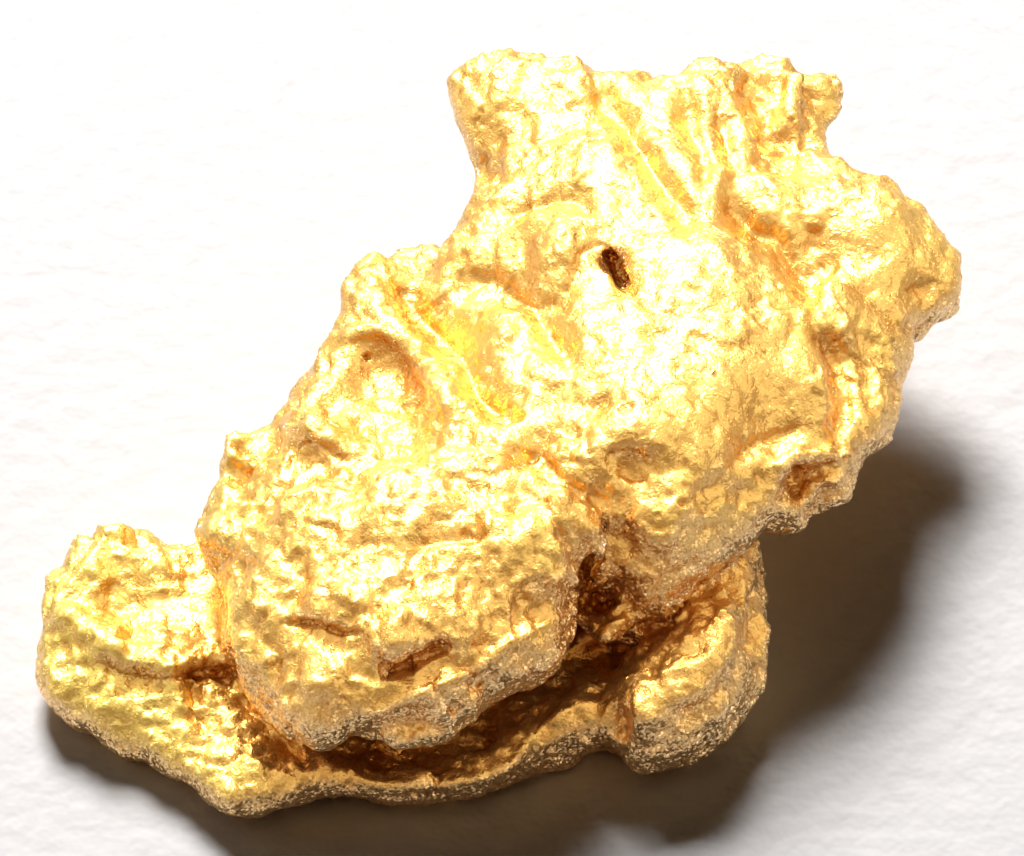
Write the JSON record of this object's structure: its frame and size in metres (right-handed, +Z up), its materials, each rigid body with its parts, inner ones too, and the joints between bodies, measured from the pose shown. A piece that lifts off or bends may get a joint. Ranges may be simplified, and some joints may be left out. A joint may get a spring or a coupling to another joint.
{
  "type": "gold nugget",
  "caption": "Natural gold nugget: a thick lumpy slab folded over a thin sheet with side lobes and an open front cavity.",
  "frame": {"origin": "middle of the bounding box in plan, on the plane that the nugget rests on", "axes": "+Z up; the open cavity between slab and sheet faces -Y; the dished lobe is at -X"},
  "size_m": [0.0278, 0.026, 0.0082],
  "materials": {
    "native_gold": "native gold, satin with a fine crystalline skin, bright on the lumps and red-brown in the cavities"
  },
  "bodies": {
    "root": {"nugget": "native_gold"}
  },
  "joints": []
}
